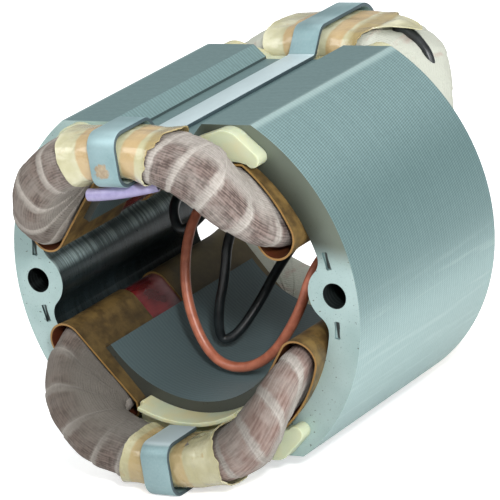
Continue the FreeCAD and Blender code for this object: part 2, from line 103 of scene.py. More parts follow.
class Finish:
    """A material: the Principled shader and whatever feeds it."""

    def __init__(self, name, **constants):
        self.material = bpy.data.materials.new(name)
        self.material.use_nodes = True
        self.tree = self.material.node_tree
        self.shader = self.tree.nodes["Principled BSDF"]
        self.feed(**constants)

    def feed(self, **inputs):
        """Sets or links the shader's sockets: base_color=..., roughness=..."""
        for word, value in inputs.items():
            name = word.replace("_", " ").title().replace("Ior", "IOR")
            self.plug(self.shader.inputs[name], value)

    def plug(self, socket, value):
        """Links a shade to a socket, or sets the socket to a constant."""
        if isinstance(value, Shade):
            self.tree.links.new(value.socket, socket)
        else:
            socket.default_value = value

    def node(self, kind, inputs=None, output=0, **settings):
        """A new node of a kind, its settings first and then its sockets."""
        node = self.tree.nodes.new("ShaderNode" + kind)
        for name, value in settings.items():
            setattr(node, name, value)
        for key, value in (inputs or {}).items():
            self.plug(node.inputs[key], value)
        return Shade(self, node.outputs[output])

    def position(self):
        """Position on the object in millimetres."""
        where = self.node("TexCoord", output="Object")
        return self.node("VectorMath", {0: where, "Scale": 1000.0}, operation="SCALE")

    def parts(self, vector):
        """The three numbers of a vector."""
        split = self.node("SeparateXYZ", {0: vector})
        outputs = split.socket.node.outputs
        return [Shade(self, outputs[i]) for i in range(3)]

    def facing(self):
        """The surface's own direction, x, y, z."""
        return self.parts(self.node("NewGeometry", output="Normal"))

    def speckle(self, size, detail=2.0, roughness=0.5, vector=None, stretch=(1, 1, 1)):
        """Noise of a given grain size in millimetres, 0 to 1."""
        where = self.position() if vector is None else vector
        scaled = self.node("VectorMath", {0: where, 1: tuple(s / size for s in stretch)},
                           operation="MULTIPLY")
        return self.node("TexNoise", {"Vector": scaled, "Scale": 1.0, "Detail": detail,
                                      "Roughness": roughness})

    def steps(self, value, low, high):
        """0 below low, 1 above high, smooth between."""
        return self.node("MapRange", {"Value": value, "From Min": low, "From Max": high},
                         interpolation_type="SMOOTHSTEP")

    def mix(self, factor, first, second):
        """The first colour where the factor is 0 and the second where it is 1."""
        return self.node("Mix", {0: factor, 6: first, 7: second}, output=2, data_type="RGBA")

    def bump(self, height, distance_mm, strength=1.0):
        """A relief of the height given, for the normal's socket."""
        return self.node("Bump", {"Height": height, "Strength": strength,
                                  "Distance": distance_mm * MM})

    def absolute(self, value):
        return self.node("Math", {0: value}, operation="ABSOLUTE")

    def fraction(self, value):
        return self.node("Math", {0: value}, operation="FRACT")

    def floor(self, value):
        return self.node("Math", {0: value}, operation="FLOOR")


def dress(piece, finish):
    """Gives a piece one finish all over."""
    piece.data.materials.clear()
    piece.data.materials.append(finish.material)


OUTER_RADIUS = 45.0
BORE_RADIUS = 27.3
FLAT_CORNER = (25.2, 37.3)
BOLT_X = 39.2
INTERLOCK = (38.6, 7.8)

steel = Finish("lamination_steel", metallic=0.3)
px, py, pz = steel.parts(steel.position())
nx, ny, nz = steel.facing()
off_centre, height, upright = steel.absolute(px), steel.absolute(pz), steel.absolute(nz)
radius = steel.node("Math", {0: px * px + pz * pz}, operation="SQRT")
round_it = steel.node("Math", {0: px, 1: pz}, operation="ARCTAN2") * OUTER_RADIUS
drag = steel.speckle(1.0, detail=3.0, stretch=(1, 3, 1))
blotch = steel.speckle(16.0, detail=3.0)

# which surface a point lies on
inward = steel.steps((nx * px + nz * pz) / radius, -0.05, -0.3)
walls = inward * steel.steps(radius, BORE_RADIUS - 0.3, BORE_RADIUS + 0.3)
pole = inward * steel.steps(radius, BORE_RADIUS + 0.3, BORE_RADIUS - 0.3)
end_face = steel.steps(steel.absolute(ny), 0.7, 0.9)
flat = steel.steps(upright, 0.95, 0.99) * (1 - inward)
turned_skin = steel.steps(radius, OUTER_RADIUS - 0.8, OUTER_RADIUS - 0.3)
turned_skin = turned_skin * steel.steps(upright, 0.83, 0.78) + pole

# the sheets' edges, every other one a little proud, crossed by fine tool marks
sheet_tone = steel.node("TexWhiteNoise", {"W": steel.floor(py / SHEET_PITCH)},
                        noise_dimensions="1D")
pairs = steel.node("Math", {0: py * (2 * math.pi / (2 * SHEET_PITCH))}, operation="SINE")
marks = steel.node("Math", {0: (round_it + py * 0.17) * (2 * math.pi / 0.52)}, operation="SINE")
hatch = 0.5 + 0.13 * pairs + 0.2 * marks * turned_skin
edges = steel.mix(hatch, tone(76, 102, 104), tone(150, 178, 178))
edges = steel.mix(0.12 * sheet_tone + 0.2 * steel.steps(drag, 0.4, 0.7), edges, tone(80, 104, 106))

# the outside: paler low down as painted light, and scuffed there, painted shade on the right side
# at mid height and on the flats, a painted highlight along the flats' corners
# painted light: the outside is paler low down
edges = steel.mix(steel.steps(pz, 12.0, -22.0) * (1 - inward) * 0.55, edges, tone(172, 194, 192))
# painted shade: a darker band on the right side at mid height
mid_side_shade = steel.steps(steel.absolute(pz - 9.0), 22.0, 6.0) * steel.steps(px, 30.0, 38.0)
edges = steel.mix(mid_side_shade * 0.5, edges, tone(70, 98, 98))
scuff = steel.steps(steel.speckle(1.5, detail=2.0, stretch=(1, 0.05, 1)), 0.5, 0.7)
scuff = scuff * steel.steps(pz, 4.0, -12.0) * (1 - inward)
edges = steel.mix(scuff * 0.16, edges, tone(196, 212, 208))
# painted shade: the flats darker than the round outside
edges = steel.mix(flat * 0.45, edges, tone(92, 116, 118))
# painted highlight: a pale line along the flats' corners
corner = steel.steps(steel.absolute(off_centre - FLAT_CORNER[0]), 1.6, 0.2)
corner = corner * steel.steps(height, FLAT_CORNER[1] - 1.1, FLAT_CORNER[1] - 0.1)
edges = steel.mix(corner * 0.5, edges, tone(176, 198, 196))

# the poles' faces, with painted shade over their left part, and the side walls of the bore, painted
# nearly black below as shade, paler above as painted light, with a painted highlight along the
# bosses' shoulders
shoe = steel.mix(hatch, tone(92, 112, 116), tone(134, 156, 160))
# painted shade over the left part of the poles' faces
shoe = steel.mix(steel.steps(px, 10.0, -12.0) * 0.62, shoe, tone(38, 48, 50))
edges = steel.mix(pole * 0.9, edges, shoe)
sheets = steel.steps(steel.speckle(0.7, detail=3.0, stretch=(0.03, 1, 0.03)), 0.42, 0.62)
# painted highlight along the shoulders of the bosses, streaked by the sheets
wall_highlight = steel.steps(steel.absolute(nz - 0.55), 0.30, 0.04) * (0.35 + 0.6 * sheets)
# painted shade: the walls nearly black
gloom = steel.mix(sheets, tone(3, 6, 8), tone(22, 30, 33))
# painted light on the upper part of the walls
gloom = steel.mix(steel.steps(pz, -1.0, 7.0) * 0.6, gloom, tone(84, 98, 98))
edges = steel.mix(walls * 0.95, edges, steel.mix(wall_highlight, gloom, tone(164, 182, 182)))
from_bolt = off_centre - BOLT_X
# painted shade: the walls of the bolt holes are dark
bolt_hole_shade = steel.steps(from_bolt * from_bolt + pz * pz, 10.5, 9.0) * (1 - end_face)
edges = steel.mix(bolt_hole_shade * 0.95, edges, steel.mix(pairs, tone(6, 7, 7), tone(40, 44, 44)))

# the end faces: bluing with grain and pits, painted shade between the coils beside the right cuff,
# round the edge of the bore and in the pressed marks
face = steel.mix(steel.steps(blotch, 0.35, 0.7), tone(146, 170, 168), tone(166, 188, 186))
grain = steel.steps(steel.speckle(0.35, detail=2.0), 0.58, 0.74)
face = steel.mix(grain * 0.4, face, tone(112, 130, 128))
pit = steel.steps(steel.speckle(0.8, detail=1.0), 0.72, 0.75)
face = steel.mix(pit * 0.7, face, tone(70, 62, 50))
# painted shade on the end face beside the right cuff, darkest next to it
shade = steel.steps(pz + 5 * blotch + 0.12 * px, 13.0, 19.5) * steel.steps(px, 2.0, 14.0)
shade = shade * steel.steps(py, 0.0, -10.0)
outwards = steel.steps(radius + 3 * blotch, 37.5, 46.5)
face = steel.mix(shade * 0.97, face, steel.mix(outwards, tone(40, 44, 36), tone(100, 108, 96)))
# painted shade on the end face round the edge of the bore
face = steel.mix(steel.steps(radius, 31.5, 30.0) * 0.92, face, tone(44, 38, 28))
# painted shade in the recesses of the pressed marks
pressed = steel.steps(steel.absolute(off_centre - INTERLOCK[0]), 0.6, 0.3)
pressed = pressed * steel.steps(steel.absolute(height - INTERLOCK[1]), 2.1, 1.7)
face = steel.mix(pressed * 0.95, face, tone(26, 28, 26))

steel.feed(
    base_color=steel.mix(end_face, edges, face),
    roughness=0.42 + 0.16 * drag - 0.05 * end_face - 0.2 * walls,
    normal=steel.bump(hatch * (1 - walls), 0.05, 0.5),
)
dress(nodes["lamination_stack"], steel)


# ---------------------------------------------------------------- slot insulation
# Each slot is lined at both ends with a cuff of varnished pressboard, flared and cut
# slanting outside the iron, and a glossy red film wraps the wires between the cuffs.
SLOT_MIDDLE = (22.5, 22.0)

pressboard = Finish("varnished_pressboard", specular_ior_level=0.4)
px, py, pz = pressboard.parts(pressboard.position())
nx, ny, nz = pressboard.facing()
sign_x = pressboard.node("Math", {0: px}, operation="SIGN")
sign_z = pressboard.node("Math", {0: pz}, operation="SIGN")
toward_wires = (SLOT_MIDDLE[0] * sign_x - px) * nx + (SLOT_MIDDLE[1] * sign_z - pz) * nz
inside = pressboard.steps(toward_wires, -0.5, 1.5)
rim = pressboard.steps(pressboard.absolute(ny), 0.75, 0.92)
mottle = pressboard.speckle(5.0, detail=5.0, roughness=0.65)
fibre = pressboard.speckle(0.9, detail=3.0, stretch=(1, 0.2, 1))
board = pressboard.mix(pressboard.steps(mottle, 0.36, 0.66), tone(58, 42, 18), tone(118, 94, 50))
board = pressboard.mix(0.25 * fibre, board, tone(146, 120, 74))
olive = pressboard.mix(mottle, tone(110, 98, 62), tone(150, 138, 100))
board = pressboard.mix(pressboard.steps(py, 0.0, 12.0) * 0.7, board, olive)
# painted shade on the cuffs low on the left, inside the bore
lower_left_shade = pressboard.steps(pz, -4.0, -14.0) * pressboard.steps(px, 0.0, -8.0)
board = pressboard.mix(lower_left_shade * 0.5, board, tone(48, 40, 24))
board = pressboard.mix(inside * pressboard.steps(py, 0.0, -12.0) * 0.85, board, tone(78, 30, 12))
pressboard.feed(
    base_color=pressboard.mix(rim * 0.6, board, tone(164, 128, 72)),
    roughness=0.42 + 0.25 * mottle,
    normal=pressboard.bump(fibre + 0.6 * mottle, 0.12, 0.5),
)

red_film = Finish("red_film", roughness=0.24, coat_weight=0.3)
px, py, pz = red_film.parts(red_film.position())
wrinkle = red_film.speckle(3.0, detail=3.0, stretch=(1, 0.4, 1))
pale = red_film.steps(py + 4 * wrinkle, -1.0, 4.5)
film_colour = red_film.mix(red_film.steps(wrinkle, 0.35, 0.7), tone(66, 8, 12), tone(112, 26, 30))
red_film.feed(
    base_color=red_film.mix(pale * 0.7, film_colour, tone(146, 98, 100)),
    normal=red_film.bump(wrinkle, 0.3, 0.6),
)

for slot in ("upper_left", "upper_right", "lower_left", "lower_right"):
    dress(nodes[slot + "_slot_liner"], red_film)
    for end in ("front", "back"):
        dress(nodes["%s_%s_cuff" % (slot, end)], pressboard)


# ---------------------------------------------------------------- taped end turns
# Outside the slots each coil is wound round with woven glass tape, half overlapped, so
# that every turn of the tape leaves a slanting ridge and the copper shows darker where
# only one layer covers it.  The band runs from slot to slot across the end of a pole.
# the band is laid out flat at this radius, then rolled round the bore; angles are seen
# along the bore, and radii run from the slot to the middle of the pole
LAYOUT_RADIUS = 35.0
LEG_ANGLE = math.radians(52.75)
LEG_HALF_ANGLE = math.radians(20.25)
LEG_END = 27.0
PIVOT_RADIUS = 2.0
COIL_GAP = 34.0
OVER_POLE = 0.43
REACH = {"front": 48.2, "back": 55.6}
PINCH = {"front": 1.2, "back": 5.0}
LIFT = {"top": math.radians(3.2), "bottom": 0.0}
INNER_RADII = (29.4, 29.4, 29.4, 29.6, 29.9, 30.3, 30.7, 30.9)
OUTER_RADII = {
    "front": (36.6, 36.6, 38.2, 40.3, 41.8, 42.1, 40.9, 39.7),
    "back": (36.6, 36.6, 38.0, 39.9, 41.2, 41.5, 40.2, 39.0),
}
AROUND = 12
SQUARENESS = 2.0 / 3.0
SWELL = 1.032
SIDE = {"front": -1, "back": 1}


def half_band(end, grow, lift):
    """Control points of the band's skin from a slot to the middle, a row for a section."""
    leg_in = (LEG_ANGLE - LEG_HALF_ANGLE) * LAYOUT_RADIUS
    leg_out = (LEG_ANGLE + LEG_HALF_ANGLE - lift) * LAYOUT_RADIUS
    pivot = np.array((leg_in - PIVOT_RADIUS, COIL_GAP - PIVOT_RADIUS))
    wide, narrow = leg_out - pivot[0], REACH[end] - pivot[1]
    inner = [(leg_in, LEG_END)]
    outer = [(leg_out, LEG_END)]
    for k in range(5):
        angle = math.pi / 8 * k
        toward = np.array((math.cos(angle), math.sin(angle)))
        far = narrow + (wide - narrow) * (1 + math.cos(2 * angle)) / 2
        far -= PINCH[end] * math.sin(2 * angle) ** 2
        inner.append(pivot + PIVOT_RADIUS * toward)
        outer.append(pivot + far * toward)
    for s in (pivot[0] * OVER_POLE, 0.0):
        inner.append((s, COIL_GAP))
        outer.append((s, REACH[end]))
    # each section is a rounded square from a to b on the flat, rolled round the bore
    turn = np.arange(AROUND) * 2 * math.pi / AROUND
    sideways = np.sign(np.cos(turn)) * np.abs(np.cos(turn)) ** SQUARENESS * SWELL
    upwards = np.sign(np.sin(turn)) * np.abs(np.sin(turn)) ** SQUARENESS * SWELL
    rows = []
    for a, b, low, high in zip(inner, outer, INNER_RADII, OUTER_RADII[end]):
        a, b = np.array(a), np.array(b)
        length = np.linalg.norm(b - a)
        flat = (a + b) / 2 + np.outer(sideways * (length / 2 + grow) / length, b - a)
        radius = (low + high) / 2 + upwards * ((high - low) / 2 + grow)
        around = flat[:, 0] / LAYOUT_RADIUS
        rows.append(np.column_stack((radius * np.sin(around), SIDE[end] * flat[:, 1],
                                     radius * np.cos(around))))
    return rows


def turn_controls(place, end, grow):
    """Control points of the whole skin.  The right limb of the top coil is lifted a little
    away from its slot's mouth."""
    right = half_band(end, grow, LIFT[place])
    left = [row * (-1, 1, 1) for row in half_band(end, grow, 0.0)]
    return np.array(right + left[-2::-1])


def open_spline(count, places):
    """Weights of a cubic curve's control points, ends held, at places from 0 to 1."""
    knots = np.concatenate(((0, 0, 0), np.arange(count - 2), [count - 3] * 3)).astype(float)
    t = np.clip(places * (count - 3), 0, count - 3 - 1e-9)[:, None]
    weights = ((knots[:-1] <= t) & (t < knots[1:])).astype(float)
    for degree in (1, 2, 3):
        rise = knots[degree:-1] - knots[:-degree - 1]
        fall = knots[degree + 1:] - knots[1:-degree]
        up = np.where(rise > 0, (t - knots[:-degree - 1]) / np.where(rise > 0, rise, 1), 0)
        down = np.where(fall > 0, (knots[degree + 1:] - t) / np.where(fall > 0, fall, 1), 0)
        weights = up * weights[:, :-1] + down * weights[:, 1:]
    return weights


def ring_spline(count, samples):
    """Weights of a closed cubic curve's control points."""
    t = np.arange(samples) * count / samples
    start = np.floor(t).astype(int)
    f = t - start
    parts = ((1 - f) ** 3, 3 * f**3 - 6 * f**2 + 4, -3 * f**3 + 3 * f**2 + 3 * f + 1, f**3)
    weights = np.zeros((samples, count))
    for step, part in enumerate(parts):
        weights[np.arange(samples), (start + step) % count] += part / 6
    return weights


def turn_skin(place, end, grow, places, around):
    """Points of the band's skin in millimetres, with its outward directions, how far each
    point is along the band and how far round it from the edge away from the stack."""
    controls = turn_controls(place, end, grow)
    skin = np.einsum("ai,ijk,bj->abk", open_spline(len(controls), places), controls,
                     ring_spline(AROUND, around))
    along = np.gradient(skin, axis=0)
    sidelong = np.roll(skin, -1, axis=1) - np.roll(skin, 1, axis=1)
    outward = np.cross(sidelong, along)
    outward /= np.linalg.norm(outward, axis=2)[:, :, None]
    centre = skin.mean(axis=1)
    middle = len(places) // 2
    if np.sum(outward[middle] * (skin[middle] - centre[middle])) < 0:
        outward = -outward
    steps = np.linalg.norm(np.diff(centre, axis=0), axis=1)
    run = np.concatenate(((0,), np.cumsum(steps)))
    girth = np.linalg.norm(skin - np.roll(skin, 1, axis=1), axis=2)
    round_it = np.cumsum(girth, axis=1) - girth[:, :1]
    round_it[:, around // 2:] -= girth.sum(axis=1)[:, None]
    return skin, outward, np.repeat((run - run.mean())[:, None], around, axis=1), round_it


def grid_piece(name, points, maps=None):
    """A mesh from closed rows of points in millimetres; maps gives each point's (u, v)."""
    rows, cols = points.shape[:2]
    faces = []
    corners = []
    for i in range(rows - 1):
        for j in range(cols):
            k = (j + 1) % cols
            faces.append((i * cols + j, i * cols + k, (i + 1) * cols + k, (i + 1) * cols + j))
            corners.append(((i, j), (i, k), (i + 1, k), (i + 1, j)))
    mesh = bpy.data.meshes.new(name)
    mesh.from_pydata((points.reshape(-1, 3) * MM).tolist(), [], faces)
    if maps is not None:
        u, v = maps
        girth = v.max(axis=1) - v.min(axis=1)
        places = []
        for quad in corners:
            start = v[quad[0]]
            for i, j in quad:
                past_seam = v[i, j] < start - girth[i] / 2
                places += [u[i, j], v[i, j] + (girth[i] if past_seam else 0.0)]
        mesh.uv_layers.new(name="wrap").data.foreach_set("uv", places)
    piece = bpy.data.objects.new(name, mesh)
    bpy.context.scene.collection.objects.link(piece)
    return piece


def outward_faces(piece, merge=False):
    """Turns every face outwards, after joining points that lie on each other if asked."""
    form = bmesh.new()
    form.from_mesh(piece.data)
    if merge:
        bmesh.ops.remove_doubles(form, verts=form.verts, dist=1e-6)
    bmesh.ops.recalc_face_normals(form, faces=form.faces)
    form.to_mesh(piece.data)
    form.free()


def smooth(piece, angle):
    """Smooth shading, with edges sharper than the angle, in degrees, kept."""
    piece.data.shade_smooth()
    piece.data.set_sharp_from_angle(angle=math.radians(angle))


TAPE_PITCH = 5.6
TAPE_SLANT = 0.12
TAPE_RIDGE = 0.24
TAPE_LUMPS = 0.35

gauze = Finish("glass_gauze", specular_ior_level=0.2)
wrap = gauze.node("UVMap", uv_map="wrap")
along, across, _ = gauze.parts(wrap)
px, py, pz = gauze.parts(gauze.position())
wander = gauze.speckle(7.0, detail=2.0)
loose = gauze.speckle(1.4, detail=3.0)
fuzz = gauze.speckle(0.5, detail=3.0)
behind = gauze.steps(py, 5.0, 25.0)
leftward = gauze.steps(px, -8.0, -20.0) * (1 - behind)
lowest = gauze.steps(pz, -6.0, -16.0) * (1 - behind)

# one turn of tape to the next, and the blocks between them with a single layer
lap = gauze.fraction((along + TAPE_SLANT * across + 0.8 * wander) / TAPE_PITCH)
single = gauze.steps(gauze.absolute(lap + 0.16 * loose - 0.66), 0.44, 0.32)
span = gauze.absolute(across + 2.0 + 3.0 * (wander - 0.5) + 2.5 * (loose - 0.5))
block_ends = gauze.steps(span, 9.0, 5.0)
patchy = gauze.steps(gauze.speckle(6.0, detail=4.0), 0.34, 0.62)
thin_cloth = single * block_ends * (0.45 + 0.55 * patchy) * (1 - 0.95 * behind)

# threads
weft = gauze.speckle(0.6, detail=2.0, vector=wrap, stretch=(0.22, 1, 1))
warp = gauze.speckle(0.6, detail=2.0, vector=wrap, stretch=(1, 0.22, 1))
lines = gauze.node("Math", {0: across * (2 * math.pi / 0.62) + 5 * loose}, operation="SINE")
threads = gauze.steps(2.2 * (weft - 0.5) + 1.4 * (warp - 0.5) + 0.22 * lines, -0.6, 0.6)

# colours: grey cloth, darker where it is thin, copper showing through low on the right,
# cream and unstained at the back; a painted highlight along each lap's edge and painted
# shade low on the inner side
doubled = gauze.mix(0.5 * fuzz + 0.5 * threads, tone(130, 124, 118), tone(178, 172, 165))
bare = gauze.mix(threads, tone(74, 62, 58), tone(128, 112, 106))
copper = gauze.mix(weft, tone(86, 38, 28), tone(176, 156, 146))
bare = gauze.mix(lowest * gauze.steps(px, 2.0, 12.0) * 0.7, bare, copper)
cloth = gauze.mix(thin_cloth * 0.95, doubled, bare)
cloth = gauze.mix(leftward * (0.2 + 0.25 * threads), cloth, tone(104, 96, 86))
# painted highlight along the edge of each lap
cloth = gauze.mix(gauze.steps(lap, 0.14, 0.0) * (0.1 + 0.3 * loose), cloth, tone(200, 194, 186))
# painted shade low down on the inner side of the end turns
cloth = gauze.mix(lowest * gauze.steps(across, 3.0, -9.0) * 0.65, cloth, tone(56, 53, 47))
creases = gauze.steps(gauze.speckle(3.0, detail=4.0, stretch=(1, 0.4, 1)), 0.56, 0.70)
creamy = gauze.mix(creases * 0.5, tone(184, 188, 176), tone(168, 140, 130))
cloth = gauze.mix(behind * 0.85, cloth, creamy)
gauze.feed(
    base_color=cloth,
    roughness=0.85,
    normal=gauze.bump(threads * 0.5 + fuzz * 0.8, 0.2, 0.7),
)

turned_over = Matrix.Rotation(math.pi, 4, "Y")
for end in ("front", "back"):
    for place in ("top", "bottom"):
        skin, outward, run, round_it = turn_skin(place, end, 0.0, np.linspace(0, 1, 260), 84)
        laps = (run + TAPE_SLANT * round_it) / TAPE_PITCH
        ridge = TAPE_RIDGE * (0.5 - (laps - np.floor(laps)))
        name = "%s_%s_wrap" % (place, end)
        seed = Vector((len(name), 0, 0))
        lumps = np.array([[noise.fractal(Vector(p) * 0.11 + seed, 1.0, 2.0, 3) for p in row]
                          for row in skin])
        points = skin + outward * (ridge + TAPE_LUMPS * lumps)[:, :, None]
        piece = grid_piece(name, points, maps=(run, round_it))
        if place == "bottom":
            piece.data.transform(turned_over)
        outward_faces(piece)
        smooth(piece, 60.0)
        dress(piece, gauze)
        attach(piece, "root")
        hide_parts("%s_%s_tape" % (place, end))

enamel = Finish("enamelled_copper", metallic=0.6, roughness=0.35)
strands = enamel.speckle(0.7, detail=2.0, stretch=(1, 0.05, 1))
enamel.feed(base_color=enamel.mix(strands, tone(96, 42, 30), tone(150, 84, 60)),
            normal=enamel.bump(strands, 0.3))
for place in ("top", "bottom"):
    dress(nodes[place + "_coil"], enamel)


# ---------------------------------------------------------------- film under the straps
# A few turns of polyester film cover the middle of each end turn where the strap bears
# on it.  Varnish has run over it and dried golden along its edges and in its creases.
STRIPE_MIDDLE = 5.6

film = Finish("varnished_film", roughness=0.24, coat_weight=0.5, coat_roughness=0.08)
along, across, _ = film.parts(film.node("UVMap", uv_map="wrap"))
px, py, pz = film.parts(film.position())
crease = film.speckle(4.0, detail=5.0, roughness=0.65)
cloudy = film.speckle(8.0, detail=3.0)
crumple = film.speckle(2.6, detail=4.0, stretch=(1, 1, 0.45))
lower = film.steps(pz, 0.0, -10.0)
base = film.mix(film.steps(cloudy, 0.35, 0.7), tone(180, 176, 140), tone(208, 206, 178))

# a tan stripe on each side of the strap, varnish in the creases, a golden frayed edge
from_stripe = film.absolute(film.absolute(along + 0.6 * cloudy) - STRIPE_MIDDLE)
stripe = film.steps(from_stripe, 2.2, 1.5)
base = film.mix(stripe * 0.7, base, tone(184, 150, 102))
gold = film.steps(crease, 0.56, 0.70)
base = film.mix(gold * (0.3 + 0.45 * lower), base, tone(164, 130, 62))
base = film.mix(lower * 0.45, base, tone(128, 120, 78))
frayed = film.steps(px + 4.0 * crease, 11.0, 13.0) * film.steps(px, 15.5, 13.5) * (1 - lower)
base = film.mix(frayed * 0.7, base, tone(150, 124, 66))
film.feed(base_color=base, normal=film.bump(crease + lower * crumple * 1.2, 0.6, 0.6))

FILM_LIFT = 0.42
FILM_THICKNESS = 0.3
FILM_LUMPS = 0.22
FILM_AROUND, FILM_ROWS = 120, 110
LEFT_REACH = 11.8
RIGHT_REACH = {"top": (10.3, 1.0), "bottom": (13.0, -2.0)}
FILM_SHIFT = {"top": 0.0, "bottom": 2.0}
LOOSE_LIFT = 1.1
LOOSE_LENGTH = 5.0
TAB_ANGLE = 1.1
TAB_SPREAD = 0.3
TAB_REACH = 9.4
TAB_RISE = 2.0


def bake(piece):
    """Turns a piece's modifiers into its mesh."""
    graph = bpy.context.evaluated_depsgraph_get()
    mesh = bpy.data.meshes.new_from_object(piece.evaluated_get(graph))
    piece.modifiers.clear()
    piece.data = mesh


def film_sleeve(place, end):
    """The film over the middle of one end turn.  Both its ends stand a little off the tape,
    and at the top back a tab of it holds the short lead down."""
    fine = np.linspace(0, 1, 400)
    skin, outward, run, round_it = turn_skin(place, end, FILM_LIFT, fine, FILM_AROUND)
    run = run[:, 0]
    angles = 2 * math.pi * np.arange(FILM_AROUND) / FILM_AROUND
    outside = np.sin(angles)
    ragged = np.array([noise.fractal(Vector((2.5 * math.cos(a), 2.5 * math.sin(a), len(end))),
                                     0.9, 2.0, 4) for a in angles])
    tab = np.exp(-((angles - TAB_ANGLE) / TAB_SPREAD) ** 2) * ((place, end) == ("top", "back"))
    reach, slant = RIGHT_REACH[place]
    reach_right = reach + slant * outside + 0.8 * ragged + TAB_REACH * tab
    reach_left = LEFT_REACH + 0.2 * np.roll(ragged, 17)
    shift = FILM_SHIFT[place]
    # the band runs from right to left, and the lower one is turned over
    low = {"top": -reach_right, "bottom": -reach_left + shift}[place]
    high = {"top": reach_left, "bottom": reach_right + shift}[place]
    wanted = low + (high - low) * np.linspace(0, 1, FILM_ROWS)[:, None]
    points, away = np.empty((2, FILM_ROWS, FILM_AROUND, 3))
    across = np.empty((FILM_ROWS, FILM_AROUND))
    for j in range(FILM_AROUND):
        across[:, j] = np.interp(wanted[:, j], run, round_it[:, j])
        for c in range(3):
            points[:, j, c] = np.interp(wanted[:, j], run, skin[:, j, c])
            away[:, j, c] = np.interp(wanted[:, j], run, outward[:, j, c])
    seed = Vector((0, len(place + end), 0))
    lumps = np.array([[noise.fractal(Vector((x * 0.12, y * 0.3, z * 0.3)) + seed, 0.9, 2.1, 4)
                       for x, y, z in row] for row in points])
    from_end = np.minimum(wanted - low, high - wanted)
    loose = np.clip(1 - from_end / LOOSE_LENGTH, 0, 1) ** 2
    loose = loose * (0.35 + 0.65 * np.clip(outside, 0, 1))
    over_lead = TAB_RISE * tab * np.clip(-wanted - 12.0, 0, 3) / 3
    points += away * (FILM_LUMPS * lumps + LOOSE_LIFT * loose + over_lead)[:, :, None]
    return points, wanted, across


for end in ("front", "back"):
    for place in ("top", "bottom"):
        name = "%s_%s_film" % (place, end)
        points, run, round_it = film_sleeve(place, end)
        piece = grid_piece(name, points, maps=(run, round_it))
        if place == "bottom":
            piece.data.transform(turned_over)
        outward_faces(piece)
        wall = piece.modifiers.new("wall", "SOLIDIFY")
        wall.thickness = FILM_THICKNESS * MM
        wall.offset = -1
        bake(piece)
        smooth(piece, 50.0)
        dress(piece, film)
        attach(piece, "root")
        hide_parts("%s_%s_sheath" % (place, end))


# ---------------------------------------------------------------- end insulators
# A moulded plate of natural nylon on each end of each pole.  Its lobes stand beside the
# coil on the yoke and its low rim keeps the coil off the edge of the bore.
def rounded_copy(node, name, width, segments, edge_angle, shading_angle):
    """The node's own form as a new piece, with flat areas joined again and its edges
    rounded."""
    mesh = nodes[node].data.copy()
    piece = bpy.data.objects.new(name, mesh)
    bpy.context.scene.collection.objects.link(piece)
    form = bmesh.new()
    form.from_mesh(mesh)
    bmesh.ops.remove_doubles(form, verts=form.verts, dist=1e-6)
    bmesh.ops.dissolve_limit(form, angle_limit=math.radians(1.0), verts=form.verts,
                             edges=form.edges)
    form.to_mesh(mesh)
    form.free()
    mesh.materials.clear()
    rounding = piece.modifiers.new("rounding", "BEVEL")
    rounding.width = width * MM
    rounding.segments = segments
    rounding.limit_method = "ANGLE"
    rounding.angle_limit = math.radians(edge_angle)
    bake(piece)
    smooth(piece, shading_angle)
    return piece


nylon = Finish("natural_nylon", roughness=0.38, subsurface_weight=0.35,
               subsurface_radius=(1.0, 0.8, 0.4), subsurface_scale=0.003)
haze = nylon.speckle(7.0, detail=3.0)
px, py, pz = nylon.parts(nylon.position())
glow = nylon.steps(nylon.absolute(px) + 5 * haze, 30.0, 24.0) * nylon.steps(haze, 0.4, 0.65)
nylon.feed(
    base_color=nylon.mix(glow * 0.4, nylon.mix(haze, tone(168, 178, 148), tone(202, 206, 180)),
                         tone(196, 174, 112)),
    normal=nylon.bump(haze, 0.3, 0.3),
)
for place in ("top", "bottom"):
    for end in ("front", "back"):
        node = "%s_%s_insulator" % (place, end)
        name = node.replace("insulator", "moulding")
        piece = rounded_copy(node, name, 0.7, segments=4, edge_angle=40, shading_angle=40)
        dress(piece, nylon)
        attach(piece, "root")
        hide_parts(node)


# ---------------------------------------------------------------- retaining straps
# A flat steel strip lies in the groove of each flat, climbs over both end turns, hooks
# down in front of them and back in underneath.  It is cold-rolled, with sheared edges.
VARNISH_DROP = (-0.6, -49.5, 33.2)

strip = Finish("strap_steel", metallic=0.45)
px, py, pz = strip.parts(strip.position())
nx, ny, nz = strip.facing()
# painted shade: the strip's side faces are drawn dark, for the shadow along its edges
shaded_sides = strip.steps(strip.absolute(nx), 0.6, 0.9)
rolled = strip.speckle(0.5, detail=3.0, stretch=(1, 0.1, 1))
cloud = strip.speckle(12.0, detail=2.0)
colour = strip.mix(strip.steps(cloud, 0.3, 0.7), tone(116, 148, 152), tone(154, 184, 188))
# painted shade: the lower strip darker
colour = strip.mix(strip.steps(pz, 0.0, -10.0) * 0.5, colour, tone(92, 120, 122))
colour = strip.mix(rolled * 0.25, colour, tone(206, 222, 226))
